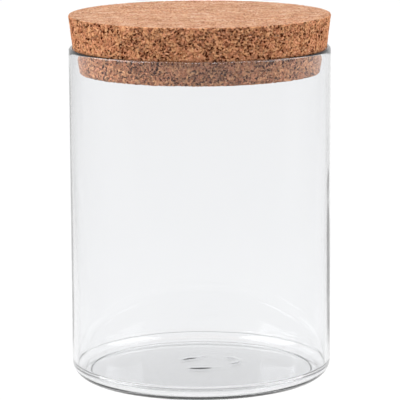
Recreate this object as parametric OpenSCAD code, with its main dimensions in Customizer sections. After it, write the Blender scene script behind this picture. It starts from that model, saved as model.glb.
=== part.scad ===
// Straight-sided storage jar of clear glass, closed by a tapered cork stopper.
// Units are millimetres. The origin is on the table, under the middle of the jar, and +Z is up.
// The jar and the stopper are each a half outline spun about Z. Only the mark on the jar's floor is off the middle.

/* [Jar] */
// Outside diameter of the glass
jar_d = 100; // [80:1:130]
// Height of the glass, from the table to the top of the lip
jar_h = 127.5; // [90:0.5:200]
// Thickness of the glass wall
wall_t = 2; // [1.6:0.1:2.6]
// Thickness of the glass floor
floor_t = 2.4; // [2:0.1:3.5]
// Outside radius of the corner between the wall and the base
corner_r = 6; // [5:0.5:7]
// Inside radius of the corner between the wall and the floor
inner_corner_r = 3; // [2.5:0.5:4]
// Width of the flat ring that the jar stands on
ring_w = 1; // [1:0.5:4]
// How far the middle of the base is drawn up off the table
kick_h = 1.2; // [1:0.1:2]
// Height of the step on the inner side of that ring
ring_h = 0.4; // [0.3:0.1:0.6]
// Diameter of the round mark where the floor was closed
mark_d = 21; // [12:1:30]
// How far the ridge of that mark stands above the floor
mark_h = 0.4; // [0.2:0.1:0.6]
// How far the mark is off the middle, to the right
mark_x = 3; // [-5:0.5:5]
// How far the mark is off the middle, towards the back
mark_y = 2; // [-5:0.5:5]

/* [Stopper] */
// Height of the cork
cork_h = 22; // [18:0.5:40]
// How far the cork goes down inside the jar, measured from the top of the lip
cork_in = 9.5; // [6:0.5:14]
// How far the top edge of the cork stands out past the glass
overhang = 0.1; // [-1:0.1:3]
// How much the part in the jar narrows towards the bottom, on the radius
plug_taper = 1.4; // [1:0.1:3]
// Radius of the bottom edge
bottom_edge_r = 0.5; // [0.3:0.1:2]
// Radius of the sanded top edge
top_edge_r = 0.5; // [0.3:0.1:1]
// Gap between the lip and the seat that it presses into the cork
seat_gap = 0.15; // [0.1:0.05:0.3]

/* [Hidden] */
$fn = 96;

jar_r = jar_d / 2;
bore_r = jar_r - wall_t;

// the lip is a half round, fire polished, on top of the wall
lip_r = wall_t / 2;
lip_x = jar_r - lip_r;
lip_z = jar_h - lip_r;

// the jar stands on a ring, and inside it a short slope leads up to a shallow dome, the kick
ring_r = jar_r - corner_r - ring_w;
dome_edge_r = ring_r - 2 * ring_h;
dome_h = kick_h - ring_h;
dome_r = (dome_edge_r * dome_edge_r + dome_h * dome_h) / (2 * dome_h);
dome_z = kick_h - dome_r;

// the floor inside is a flatter dome than the kick, as wide as the flat part of the floor
floor_r = bore_r - inner_corner_r;
rise_r = (floor_r * floor_r + kick_h * kick_h) / (2 * kick_h);
rise_z = floor_t + kick_h - rise_r;

// the ridge of the closing mark is a bead about three times as wide as it is high
mark_half_w = 3 * mark_h;
mark_bead_r = (mark_half_w * mark_half_w + mark_h * mark_h) / (2 * mark_h);
mark_z = rise_z + sqrt(pow(rise_r, 2) - pow(mark_d / 2, 2)) + mark_h - mark_bead_r;

cork_bottom_z = jar_h - cork_in;
cork_top_z = cork_bottom_z + cork_h;
// the plug ends just under the lip, and the shoulder that bulges over the lip starts just above it
neck_z = lip_z - 0.5;
neck_r = bore_r - 0.8;
shoulder_z = jar_h + 0.5;
shoulder_r = lip_x - 0.4;
plug_r = neck_r - plug_taper;
top_r = jar_r + overhang;
// radius gained for each millimetre of height, on the plug and on the part above the lip
plug_slope = plug_taper / (neck_z - cork_bottom_z);
top_slope = (top_r - shoulder_r) / (cork_top_z - shoulder_z);

// Radius of the centre of a rounded edge that touches a level face and a side of this slope.
// face_r is where the side would meet the face, and rise is +1 at a bottom face, -1 at a top one.
function edge_x(face_r, slope, edge_r, rise) =
    face_r + rise * slope * edge_r - edge_r * sqrt(1 + slope * slope);

// Point where that rounded edge runs into the side, from the centre of the edge
function edge_end(x, z, slope, edge_r) =
    [x + edge_r / sqrt(1 + slope * slope), z - slope * edge_r / sqrt(1 + slope * slope)];

bottom_edge_x = edge_x(plug_r, plug_slope, bottom_edge_r, 1);
bottom_edge_z = cork_bottom_z + bottom_edge_r;
top_edge_x = edge_x(top_r, top_slope, top_edge_r, -1);
top_edge_z = cork_top_z - top_edge_r;

// Half outline of an upright drum whose bottom corner is rounded
module drum_outline(r, low, high, corner) {
    translate([0, low]) square([r - corner, high - low]);
    translate([0, low + corner]) square([r, high - low - corner]);
    translate([r - corner, low + corner]) circle(corner);
}

// Half of a shallow dome: the part of a big disc that is above a level line
module half_dome(r, z, low) {
    intersection() {
        translate([0, z]) circle(r, $fn = 1440);
        translate([0, low]) square([jar_r, kick_h + floor_t]);
    }
}

module jar_outline() {
    difference() {
        union() {
            difference() {
                intersection() {
                    drum_outline(jar_r, 0, lip_z, corner_r);
                    square([jar_r, lip_z]);
                }
                intersection() {
                    drum_outline(bore_r, floor_t, lip_z + 1, inner_corner_r);
                    square([bore_r, lip_z + 1]);
                }
            }
            translate([lip_x, lip_z]) circle(lip_r);
            half_dome(rise_r, rise_z, floor_t - 0.1);
        }
        half_dome(dome_r, dome_z, ring_h - 0.1);
        polygon([[0, -1], [ring_r + 2, -1], [ring_r, 0], [dome_edge_r, ring_h], [0, ring_h]]);
    }
}

// Round ridge on the floor; only what stands above the middle of the floor's thickness is kept
module closing_mark() {
    translate([mark_x, mark_y]) rotate_extrude() intersection() {
        translate([mark_d / 2, mark_z]) circle(mark_bead_r);
        translate([0, floor_t / 2 + kick_h]) square([mark_d, floor_t]);
    }
}

module stopper_outline() {
    difference() {
        union() {
            polygon([
                [0, cork_bottom_z],
                [bottom_edge_x, cork_bottom_z],
                edge_end(bottom_edge_x, bottom_edge_z, plug_slope, bottom_edge_r),
                [neck_r, neck_z],
                [shoulder_r, shoulder_z],
                edge_end(top_edge_x, top_edge_z, top_slope, top_edge_r),
                [top_edge_x, cork_top_z],
                [0, cork_top_z]
            ]);
            translate([bottom_edge_x, bottom_edge_z]) circle(bottom_edge_r);
            translate([top_edge_x, top_edge_z]) circle(top_edge_r);
        }
        // the seat that the lip presses into the cork
        translate([lip_x, lip_z]) circle(lip_r + seat_gap);
    }
}

// One piece of clear glass: wall, rounded lip, rounded corner and domed floor
module glass_jar() {
    color([0.86, 0.9, 0.91, 0.35]) {
        rotate_extrude() jar_outline();
        closing_mark();
    }
}

// One piece of pressed cork granules, wide on top and narrow where it enters the jar
module cork_stopper() {
    color([0.78, 0.56, 0.4]) rotate_extrude() stopper_outline();
}

glass_jar();
cork_stopper();
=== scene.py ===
"""A straight-sided glass jar closed by a pressed-cork stopper, on a plain pale floor.

Two pieces stand for the two CAD nodes. Both are turned outlines: the glass with its slight
unevenness, and the cork with the relief of its granules and pits cut into the mesh.
"""
import math

import bpy
from mathutils import Matrix, Vector, noise


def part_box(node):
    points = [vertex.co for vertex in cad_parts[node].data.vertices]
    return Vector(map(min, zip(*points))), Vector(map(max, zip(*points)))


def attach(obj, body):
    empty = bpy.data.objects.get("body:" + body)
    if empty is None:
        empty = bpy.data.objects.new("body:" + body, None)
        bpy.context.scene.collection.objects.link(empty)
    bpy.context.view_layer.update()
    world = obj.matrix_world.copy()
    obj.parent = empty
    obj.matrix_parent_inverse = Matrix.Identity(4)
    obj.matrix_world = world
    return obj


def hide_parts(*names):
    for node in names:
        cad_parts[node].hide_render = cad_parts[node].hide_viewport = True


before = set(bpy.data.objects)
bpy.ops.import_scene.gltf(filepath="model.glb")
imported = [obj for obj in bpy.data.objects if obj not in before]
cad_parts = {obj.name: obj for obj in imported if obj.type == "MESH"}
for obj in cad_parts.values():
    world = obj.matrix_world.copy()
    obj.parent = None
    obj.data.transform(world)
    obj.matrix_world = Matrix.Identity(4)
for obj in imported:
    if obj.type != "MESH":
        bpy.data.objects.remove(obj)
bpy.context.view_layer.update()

MM = 0.001

_, jar_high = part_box("glass_jar")
cork_low, cork_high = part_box("cork_stopper")

# glass, in millimetres
JAR_R = jar_high.x / MM
JAR_H = jar_high.z / MM
WALL = 2.0
FLOOR = 2.4
CORNER = 6.0
INNER_CORNER = 3.0
# the flat ring that the jar stands on, the step inside it, and the rise of the base's middle
RING = 1.0
RING_H = 0.4
KICK = 1.2
# the ridge where the floor was closed
MARK_R = 10.5
MARK_H = 0.16
MARK_W = 1.2
MARK_X, MARK_Y = 3.0, 2.0
# the bead where the wall was worked into the floor
FOLD_Z = 5.4
FOLD_H = 0.6
FOLD_W = 0.4
BORE_R = JAR_R - WALL
LIP_R = WALL / 2
LIP_Z = JAR_H - LIP_R
RING_R = JAR_R - CORNER - RING
KICK_R = RING_R - 2 * RING_H
FLOOR_R = BORE_R - INNER_CORNER
# how far the outside of the wall wanders, slowly and in upright streaks; the inside goes 1.5 times as far
WANDER = 0.05
STREAKS = 0.02
# spacing of points up the wall, and past the bead
WALL_STEP = 2.0
FOLD_STEP = 0.15
LIP_STEPS = 16
GLASS_SEGMENTS = 256

# cork, in millimetres
CORK_LOW = cork_low.z / MM
CORK_TOP = cork_high.z / MM
OVERHANG = 0.1
TAPER = 1.4
SEAT_GAP = 0.15
BOTTOM_EDGE = 0.5
TOP_EDGE = 0.5
CORK_R = JAR_R + OVERHANG
SHOULDER_Z = JAR_H + 0.5
SHOULDER_R = JAR_R - LIP_R - 0.4
NECK_Z = LIP_Z - 0.5
NECK_R = BORE_R - 0.8
PLUG_R = NECK_R - TAPER
SEAT_R = LIP_R + SEAT_GAP
# granules across each millimetre
GRANULES = 0.6
# spacing of points up the side, and cells along each edge of the grid on each face
CORK_STEP = 0.42
CORK_CELLS = 160


# ---------------------------------------------------------------- outlines

def arc(centre, radius, start, end, steps):
    """Points on a circle in the outline's plane, from one angle to another, in degrees."""
    turns = [math.radians(start + (end - start) * i / steps) for i in range(steps + 1)]
    return [(centre[0] + radius * math.cos(t), centre[1] + radius * math.sin(t)) for t in turns]


def line(a, b, step):
    """Evenly spaced points from a to b, without b."""
    count = max(1, round(math.dist(a, b) / step))
    return [(a[0] + (b[0] - a[0]) * i / count, a[1] + (b[1] - a[1]) * i / count) for i in range(count)]


def respaced(points, step):
    """The same outline with points that are about one step apart."""
    out = []
    for a, b in zip(points, points[1:]):
        out += line(a, b, step)
    return out + [points[-1]]


def dome(r, rim_r, rise):
    """Height of a shallow dome above its own rim."""
    return rise * max(0.0, 1 - (r / rim_r) ** 2)


def glass_outside():
    """From the middle of the base, over the standing ring, up to the lip's outer side."""
    kick = [(r, RING_H + dome(r, KICK_R, KICK - RING_H)) for r in range(0, round(KICK_R))]
    ease = [i / 8 for i in range(9)]
    step = [(KICK_R + (RING_R - KICK_R) * t, RING_H * (1 - t * t * (3 - 2 * t))) for t in ease]
    corner = arc((JAR_R - CORNER, CORNER), CORNER, -90, 0, 24)
    wall = line((JAR_R, CORNER), (JAR_R, LIP_Z), WALL_STEP)[1:]
    return kick + step + corner + wall


def fold(z):
    """How far the bead stands in from the glass at this height."""
    return FOLD_H * math.exp(-((z - FOLD_Z) / FOLD_W) ** 2)


def glass_inside():
    """From the lip's inner side down the wall and in to the middle of the floor."""
    corner_z = FLOOR + INNER_CORNER
    fold_top = (BORE_R, FOLD_Z + 2)
    wall = line((BORE_R, LIP_Z), fold_top, WALL_STEP)[1:] + line(fold_top, (BORE_R, corner_z), FOLD_STEP)
    corner = arc((FLOOR_R, corner_z), INNER_CORNER, 0, -90, 36)
    side = [(r - fold(z), z) for r, z in wall + corner]
    half_millimetres = range(math.ceil(2 * FLOOR_R) - 1, -1, -1)
    return side + [(i / 2, FLOOR + dome(i / 2, FLOOR_R, KICK)) for i in half_millimetres]


def glass_outline():
    lip = arc((JAR_R - LIP_R, LIP_Z), LIP_R, 0, 180, LIP_STEPS)
    return glass_outside() + lip + glass_inside()


# ---------------------------------------------------------------- mesh building

def make_object(name, vertices, faces):
    mesh = bpy.data.meshes.new(name)
    mesh.from_pydata(vertices, [], faces)
    mesh.validate()
    mesh.shade_smooth()
    piece = bpy.data.objects.new(name, mesh)
    bpy.context.scene.collection.objects.link(piece)
    return piece


def uneven(r, z, turn):
    """How far the glass wanders from its outline here, in millimetres: drawn tube is never quite true."""
    across = Vector((2.2 * math.cos(turn), 2.2 * math.sin(turn), z / 90))
    slow = noise.noise(across + Vector((0, 0, r)))
    streak = noise.noise(Vector((7 * math.cos(turn), 7 * math.sin(turn), z / 160 + r)))
    return WANDER * slow + STREAKS * streak


def closing_mark(x, y):
    """Ridge left where the floor was closed: a wobbly ring that is strong in places and gone in others."""
    x, y = x - MARK_X, y - MARK_Y
    turn = math.atan2(y, x)
    swing = 0.9 * math.sin(2 * turn + 0.6) + 0.5 * math.sin(5 * turn)
    ridge = math.exp(-(((math.hypot(x, y) - MARK_R - swing) / MARK_W) ** 2))
    strength = max(0.0, 0.25 + 0.6 * math.cos(3 * (turn - 0.25)) + 0.25 * math.cos(7 * turn + 1))
    return MARK_H * ridge * strength


def spun_glass(name, segments):
    """The glass outline spun about Z, with its wall uneven and its closing mark on the floor."""
    outline = glass_outline()
    inside_from = len(glass_outside()) + LIP_STEPS // 2
    vertices, faces, rings = [], [], []
    for place, (r, z) in enumerate(outline):
        if r < 1e-6:
            rings.append([len(vertices)])
            vertices.append((0, 0, z * MM))
            continue
        start = len(vertices)
        rings.append(list(range(start, start + segments)))
        inside = place > inside_from
        on_wall = CORNER < z < LIP_Z - 2
        for i in range(segments):
            turn = 2 * math.pi * i / segments
            radius, height = r, z
            if on_wall:
                share = min(1, (z - CORNER) / 10, (LIP_Z - 2 - z) / 10)
                radius += share * uneven(3 if inside else 0, z, turn) * (1.5 if inside else 1)
            elif inside and r < FLOOR_R:
                height += closing_mark(r * math.cos(turn), r * math.sin(turn))
            vertices.append((radius * math.cos(turn) * MM, radius * math.sin(turn) * MM, height * MM))
    for a, b in zip(rings, rings[1:]):
        for i in range(segments):
            j = (i + 1) % segments
            if len(a) == 1:
                faces.append((a[0], b[j], b[i]))
            elif len(b) == 1:
                faces.append((a[i], a[j], b[0]))
            else:
                faces.append((a[i], a[j], b[j], b[i]))
    return make_object(name, vertices, faces)


def side_slope(low, high):
    """Radius gained for each millimetre of height."""
    return (high[0] - low[0]) / (high[1] - low[1])


def rounded(face_r, face_z, slope, edge, rise):
    """Arc that rounds off the corner between a level face and a sloping side."""
    x = face_r + rise * slope * edge - edge * math.hypot(1, slope)
    tangent = -math.degrees(math.atan(slope))
    if rise > 0:
        return arc((x, face_z + edge), edge, -90, tangent, 6)
    return arc((x, face_z - edge), edge, tangent, 90, 4)


def cork_side():
    """Side of the cork from the bottom face to the top face, with the seat the lip has pressed in."""
    plug = side_slope((PLUG_R, CORK_LOW), (NECK_R, NECK_Z))
    above = side_slope((SHOULDER_R, SHOULDER_Z), (CORK_R, CORK_TOP))
    bottom = rounded(PLUG_R, CORK_LOW, plug, BOTTOM_EDGE, 1)
    top = rounded(CORK_R, CORK_TOP, above, TOP_EDGE, -1)
    seat = arc((JAR_R - LIP_R, LIP_Z), SEAT_R, 180, 118, 3)
    return respaced([*bottom, (NECK_R, NECK_Z), *seat, (SHOULDER_R, SHOULDER_Z), *top], CORK_STEP)


def disc_point(u, v):
    """Maps a point of the square from -1 to 1 onto the unit disc, keeping areas even."""
    if u == 0 and v == 0:
        return 0.0, 0.0
    if abs(u) > abs(v):
        r, turn = u, math.pi / 4 * v / u
    else:
        r, turn = v, math.pi / 2 - math.pi / 4 * u / v
    return r * math.cos(turn), r * math.sin(turn)


def cork_mesh(name, cells):
    """A turned solid whose two faces are even grids, so that their relief is as fine all over."""
    side = cork_side()
    vertices, faces = [], []

    def grid(r, z, up):
        start = len(vertices)
        for j in range(cells + 1):
            for i in range(cells + 1):
                x, y = disc_point(2 * i / cells - 1, 2 * j / cells - 1)
                vertices.append((x * r * MM, y * r * MM, z * MM))

        def at(i, j):
            return start + j * (cells + 1) + i

        for j in range(cells):
            for i in range(cells):
                quad = (at(i, j), at(i + 1, j), at(i + 1, j + 1), at(i, j + 1))
                faces.append(quad if up else quad[::-1])
        rim = [at(i, 0) for i in range(cells)] + [at(cells, j) for j in range(cells)]
        rim += [at(i, cells) for i in range(cells, 0, -1)] + [at(0, j) for j in range(cells, 0, -1)]
        return rim

    ring = grid(side[0][0], side[0][1], False)
    compass = [Vector(vertices[i]).xy.normalized() for i in ring]
    for r, z in side[1:-1]:
        start = len(vertices)
        vertices += [(way.x * r * MM, way.y * r * MM, z * MM) for way in compass]
        new = list(range(start, start + len(compass)))
        faces += [(ring[i - 1], ring[i], new[i], new[i - 1]) for i in range(len(ring))]
        ring = new
    last = grid(side[-1][0], side[-1][1], True)
    faces += [(ring[i - 1], ring[i], last[i], last[i - 1]) for i in range(len(ring))]
    return make_object(name, vertices, faces)


# ---------------------------------------------------------------- nodes

def add(tree, kind, inputs=None, **settings):
    """Adds a node, sets its options, and sets or links its inputs."""
    made = tree.nodes.new(kind)
    for key, value in settings.items():
        setattr(made, key, value)
    for key, value in (inputs or {}).items():
        if isinstance(value, bpy.types.NodeSocket):
            tree.links.new(value, made.inputs[key])
        else:
            made.inputs[key].default_value = value
    return made


def calc(tree, operation, a, b):
    return add(tree, "ShaderNodeMath", {0: a, 1: b}, operation=operation).outputs[0]


def fade(tree, value, low, high, to_low=0.0, to_high=1.0):
    """Smooth step of a value from one range to another."""
    inputs = {"Value": value, "From Min": low, "From Max": high, "To Min": to_low, "To Max": to_high}
    return add(tree, "ShaderNodeMapRange", inputs, interpolation_type="SMOOTHSTEP").outputs[0]


def blend(tree, factor, a, b, mode="MIX"):
    """Mixes two colours."""
    return add(tree, "ShaderNodeMix", {0: factor, 6: a, 7: b}, data_type="RGBA", blend_type=mode).outputs[2]


def part(tree, vector, axis):
    return add(tree, "ShaderNodeSeparateXYZ", {0: vector}).outputs[axis]


def noise_at(tree, point, scale, detail=2.0, roughness=0.5):
    return add(tree, "ShaderNodeTexNoise",
               {"Vector": point, "Scale": scale, "Detail": detail, "Roughness": roughness})


def cells_at(tree, point, scale, feature="F1"):
    return add(tree, "ShaderNodeTexVoronoi", {"Vector": point, "Scale": scale}, feature=feature)


def warped(tree, point, scale, amount, detail=2.0):
    """Pushes points about by noise, so that what is drawn there has ragged edges."""
    push = noise_at(tree, point, scale, detail).outputs[1]
    shift = add(tree, "ShaderNodeVectorMath", {0: push, 1: (0.5, 0.5, 0.5)}, operation="SUBTRACT")
    scaled = add(tree, "ShaderNodeVectorMath", {0: shift.outputs[0], "Scale": amount}, operation="SCALE")
    return add(tree, "ShaderNodeVectorMath", {0: point, 1: scaled.outputs[0]}, operation="ADD").outputs[0]


def cork_field(tree, position):
    """What the cork is like at a point, the same in a material and in a mesh modifier.

    Gives each granule's tone, hue and height, its edge and fibres, the pits, the fine pores and the grain.
    """
    point = add(tree, "ShaderNodeVectorMath", {0: position, "Scale": 1 / MM}, operation="SCALE").outputs[0]
    ragged = warped(tree, warped(tree, point, 0.5, 1.2), 1.8, 0.6, 3)
    granule = cells_at(tree, ragged, GRANULES)
    edge = cells_at(tree, ragged, GRANULES, "DISTANCE_TO_EDGE").outputs["Distance"]

    # each granule's fibres lie its own way
    random = granule.outputs["Color"]
    turn = add(tree, "ShaderNodeVectorMath", {0: random, "Scale": 2 * math.pi}, operation="SCALE").outputs[0]
    turned = add(tree, "ShaderNodeVectorRotate", {"Vector": ragged, "Rotation": turn},
                 rotation_type="EULER_XYZ").outputs[0]
    stretched = add(tree, "ShaderNodeVectorMath", {0: turned, 1: (0.35, 1.0, 1.6)}, operation="MULTIPLY")
    fibres = noise_at(tree, stretched.outputs[0], 1.3, 2, 0.55).outputs[0]

    # pits and pores are commoner in some places than in others
    crowd = noise_at(tree, point, 0.16, 2).outputs[0]
    near_edge = fade(tree, edge, 0.13, 0.02)
    blotch = noise_at(tree, warped(tree, point, 1.2, 0.8, 2), 1.15, 4, 0.68).outputs[0]
    blotch = calc(tree, "ADD", blotch, calc(tree, "MULTIPLY", near_edge, 0.07))
    blotch = calc(tree, "ADD", blotch, calc(tree, "MULTIPLY", crowd, 0.22))
    pit = fade(tree, blotch, 0.680, 0.708)

    dots = noise_at(tree, ragged, 1.15, 2, 0.55).outputs[0]
    dots = calc(tree, "ADD", dots, calc(tree, "MULTIPLY", crowd, 0.20))
    pore = fade(tree, dots, 0.676, 0.698)
    return {
        "tone": part(tree, random, 0),
        "hue": part(tree, random, 1),
        "lift": part(tree, random, 2),
        "edge": near_edge,
        "fibres": fibres,
        "pit": pit,
        "pore": pore,
        "grain": noise_at(tree, point, 2.4, 2, 0.6).outputs[0],
    }


def cut_granules(piece):
    """Cuts the pits and the gaps between granules into the mesh itself."""
    tree = bpy.data.node_groups.new("cork_relief", "GeometryNodeTree")
    tree.interface.new_socket("Geometry", in_out="INPUT", socket_type="NodeSocketGeometry")
    tree.interface.new_socket("Geometry", in_out="OUTPUT", socket_type="NodeSocketGeometry")
    entry, leave = tree.nodes.new("NodeGroupInput"), tree.nodes.new("NodeGroupOutput")
    position = tree.nodes.new("GeometryNodeInputPosition").outputs[0]
    normal = tree.nodes.new("GeometryNodeInputNormal").outputs[0]
    field = cork_field(tree, position)
    # the sanded top is smoother than the side and the bottom
    smooth_top = fade(tree, part(tree, normal, 2), 0.5, 0.9, 1.0, 0.35)
    depth = calc(tree, "MULTIPLY", field["lift"], 0.12)
    depth = calc(tree, "ADD", depth, calc(tree, "MULTIPLY", field["edge"], 0.10))
    depth = calc(tree, "ADD", depth, calc(tree, "MULTIPLY", field["pit"], 0.60))
    depth = calc(tree, "ADD", depth, calc(tree, "MULTIPLY", field["pore"], 0.20))
    depth = calc(tree, "MULTIPLY", calc(tree, "MULTIPLY", depth, smooth_top), -MM)
    offset = add(tree, "ShaderNodeVectorMath", {0: normal, "Scale": depth}, operation="SCALE").outputs[0]
    moved = add(tree, "GeometryNodeSetPosition", {"Geometry": entry.outputs[0], "Offset": offset})
    tree.links.new(moved.outputs[0], leave.inputs[0])
    piece.modifiers.new("relief", "NODES").node_group = tree
    depsgraph = bpy.context.evaluated_depsgraph_get()
    cut = bpy.data.meshes.new_from_object(piece.evaluated_get(depsgraph))
    piece.modifiers.clear()
    piece.data = cut
    bpy.data.node_groups.remove(tree)


# ---------------------------------------------------------------- materials

def material(name):
    made = bpy.data.materials.new(name)
    made.use_nodes = True
    tree = made.node_tree
    return made, tree, tree.nodes["Principled BSDF"], tree.nodes["Material Output"]


def glass_material():
    made, tree, shader, output = material("clear_glass")
    shader.inputs["Base Color"].default_value = (0.950, 0.953, 0.958, 1.0)
    shader.inputs["Transmission Weight"].default_value = 1.0
    shader.inputs["IOR"].default_value = 1.47
    shader.inputs["Roughness"].default_value = 0.0
    position = tree.nodes.new("ShaderNodeTexCoord").outputs["Object"]
    ripple = noise_at(tree, position, 60, 1.0)
    bump = add(tree, "ShaderNodeBump", {"Height": ripple.outputs[0], "Strength": 0.06, "Distance": 0.0004})
    tree.links.new(bump.outputs[0], shader.inputs["Normal"])
    tint = add(tree, "ShaderNodeVolumeAbsorption", {"Color": (0.80, 0.815, 0.84, 1.0), "Density": 50.0})
    tree.links.new(tint.outputs[0], output.inputs["Volume"])
    return made


def cork_material():
    made, tree, shader, _ = material("pressed_cork")
    position = tree.nodes.new("ShaderNodeTexCoord").outputs["Object"]
    field = cork_field(tree, position)
    tan, rosy, brown = (0.67, 0.325, 0.160, 1), (0.65, 0.28, 0.150, 1), (0.28, 0.088, 0.034, 1)
    pale, dark = (0.88, 0.54, 0.31, 1), (0.065, 0.010, 0.002, 1)
    colour = blend(tree, fade(tree, field["hue"], 0.3, 0.7), tan, rosy)
    colour = blend(tree, fade(tree, field["tone"], 0.60, 1.0, 0.0, 0.55), colour, brown)
    colour = blend(tree, fade(tree, field["fibres"], 0.46, 0.32, 0.0, 0.75), colour, brown)
    colour = blend(tree, fade(tree, field["fibres"], 0.56, 0.68, 0.0, 0.7), colour, pale)
    colour = blend(tree, fade(tree, field["grain"], 0.48, 0.32, 0.0, 0.35), colour, brown)
    sides = blend(tree, calc(tree, "MULTIPLY", field["edge"], 0.35), colour, brown)
    sides = blend(tree, field["pore"], sides, dark)
    sides = blend(tree, field["pit"], sides, dark)
    # the top is sanded, so it is paler, and its pits are filled with dust
    top = blend(tree, 0.25, colour, (0.72, 0.46, 0.30, 1))
    patch = noise_at(tree, position, 260, 3, 0.65).outputs[0]
    top = blend(tree, fade(tree, patch, 0.52, 0.68, 0.0, 0.55), top, (0.86, 0.56, 0.37, 1))
    top = blend(tree, fade(tree, patch, 0.48, 0.32, 0.0, 0.40), top, brown)
    top = blend(tree, calc(tree, "MULTIPLY", field["pit"], 0.70), top, brown)
    top = blend(tree, calc(tree, "MULTIPLY", field["pore"], 0.38), top, brown)
    top = blend(tree, 1.0, top, (0.66, 0.74, 0.83, 1), "MULTIPLY")
    up = part(tree, tree.nodes.new("ShaderNodeNewGeometry").outputs["True Normal"], 2)
    colour = blend(tree, fade(tree, up, 0.6, 0.95), sides, top)
    tree.links.new(colour, shader.inputs["Base Color"])
    shader.inputs["Roughness"].default_value = 0.85
    shader.inputs["Specular IOR Level"].default_value = 0.02
    height = calc(tree, "SUBTRACT", field["fibres"], calc(tree, "MULTIPLY", field["pore"], 0.8))
    bump = add(tree, "ShaderNodeBump", {"Height": height, "Strength": 0.6, "Distance": 0.0003})
    tree.links.new(bump.outputs[0], shader.inputs["Normal"])
    return made


def floor_material():
    """A pale table that glows as if lit from below, as glass is photographed on: its glow is painted
    brightest in a strip behind the jar, dimmer to the sides and towards the front, with a painted shadow
    right under the jar.
    """
    made, tree, shader, _ = material("pale_floor")
    position = tree.nodes.new("ShaderNodeTexCoord").outputs["Object"]
    across, along = part(tree, position, 0), part(tree, position, 1)
    # painted light: the glow is brightest in a strip behind the jar that widens away from it, over a glow
    # that is dimmer to the left than to the right
    spread = calc(tree, "DIVIDE", across, calc(tree, "ADD", calc(tree, "MAXIMUM", along, 0.0), 1.3))
    middle = calc(tree, "MULTIPLY", fade(tree, spread, -0.16, -0.07), fade(tree, spread, 0.16, 0.07))
    colour = blend(tree, middle, fade(tree, across, -0.6, 0.6, 0.76, 0.88), (0.98, 0.98, 0.98, 1))
    # painted shade: the glow is dimmer towards the front
    colour = blend(tree, fade(tree, along, -0.24, -0.05), (0.70, 0.70, 0.70, 1), colour)
    # painted shadow: the glow is dimmer in a disc right under the jar, where less light would reach a real
    # table
    out = add(tree, "ShaderNodeVectorMath", {0: position}, operation="LENGTH").outputs["Value"]
    colour = blend(tree, fade(tree, out, 0.030, 0.048), (0.88, 0.88, 0.88, 1), colour)
    tree.links.new(colour, shader.inputs["Emission Color"])
    shader.inputs["Emission Strength"].default_value = 1.0
    shader.inputs["Base Color"].default_value = (0.04, 0.04, 0.04, 1)
    shader.inputs["Roughness"].default_value = 1.0
    shader.inputs["Specular IOR Level"].default_value = 0.0
    return made


# ---------------------------------------------------------------- pieces

def make_glass():
    piece = spun_glass("jar_glass", GLASS_SEGMENTS)
    piece.data.materials.append(glass_material())
    # light reaches the cork inside as well as it does the cork above
    piece.visible_shadow = False
    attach(piece, "jar")
    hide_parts("glass_jar")


def make_cork():
    piece = cork_mesh("stopper_cork", CORK_CELLS)
    cut_granules(piece)
    piece.data.materials.append(cork_material())
    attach(piece, "stopper")
    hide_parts("cork_stopper")


# ---------------------------------------------------------------- studio

def make_floor():
    """A level floor with a round rim, just under the jar so that the two don't share a plane."""
    radius, segments = 4.0, 96
    turns = [2 * math.pi * i / segments for i in range(segments)]
    rim = [(radius * math.cos(t), radius * math.sin(t), 0) for t in turns]
    floor = make_object("floor", rim, [tuple(range(segments))])
    floor.location.z = -0.0002
    floor.data.materials.append(floor_material())


def softbox(name, place, aim, size, power):
    data = bpy.data.lights.new(name, "AREA")
    data.shape = "RECTANGLE"
    data.size, data.size_y = size
    data.energy = power
    lamp = bpy.data.objects.new(name, data)
    bpy.context.scene.collection.objects.link(lamp)
    lamp.location = place
    lamp.rotation_euler = (Vector(aim) - Vector(place)).to_track_quat("-Z", "Y").to_euler()


def make_world():
    """A backdrop that is white behind the jar and pale grey round the rest of it, under a dimmer studio."""
    world = bpy.data.worlds.new("studio")
    bpy.context.scene.world = world
    world.use_nodes = True
    tree = world.node_tree
    way = tree.nodes.new("ShaderNodeTexCoord").outputs["Generated"]
    band = fade(tree, part(tree, way, 1), 0.2, 0.9, 0.62, 1.0)
    strength = blend(tree, fade(tree, part(tree, way, 2), 0.08, 0.35), band, (0.46, 0.46, 0.46, 1))
    tree.links.new(strength, tree.nodes["Background"].inputs["Color"])
    tree.nodes["Background"].inputs["Strength"].default_value = 1.0


def make_camera():
    """Looks down on the jar by about 10 degrees from a metre away, and leans by a fraction of one."""
    data = bpy.data.cameras.new("camera")
    data.sensor_width = 36.0
    data.lens = 237.3
    camera = bpy.data.objects.new("camera", data)
    bpy.context.scene.collection.objects.link(camera)
    camera.location = (-0.0002, -1.0, 0.2467)
    tilt = Matrix.Rotation(math.radians(90 - 10.139), 3, "X")
    roll = Matrix.Rotation(math.radians(-0.3), 3, "Z")
    camera.rotation_euler = (tilt @ roll).to_euler()
    bpy.context.scene.camera = camera


make_camera()
make_world()
make_floor()
softbox("top_light", (0.0, 0.15, 1.0), (0.0, 0.0, 0.14), (0.9, 0.9), 4.2)
softbox("rim_light", (0.0, -0.35, 1.0), (0.0, 0.0, 0.127), (1.6, 0.06), 3.6)
softbox("left_light", (-0.95, -0.1, 0.75), (0.0, 0.0, 0.12), (1.0, 1.0), 13)
softbox("right_light", (0.95, -0.1, 0.75), (0.0, 0.0, 0.12), (1.0, 1.0), 9.6)
make_glass()
make_cork()

bpy.context.scene.view_settings.view_transform = "Standard"
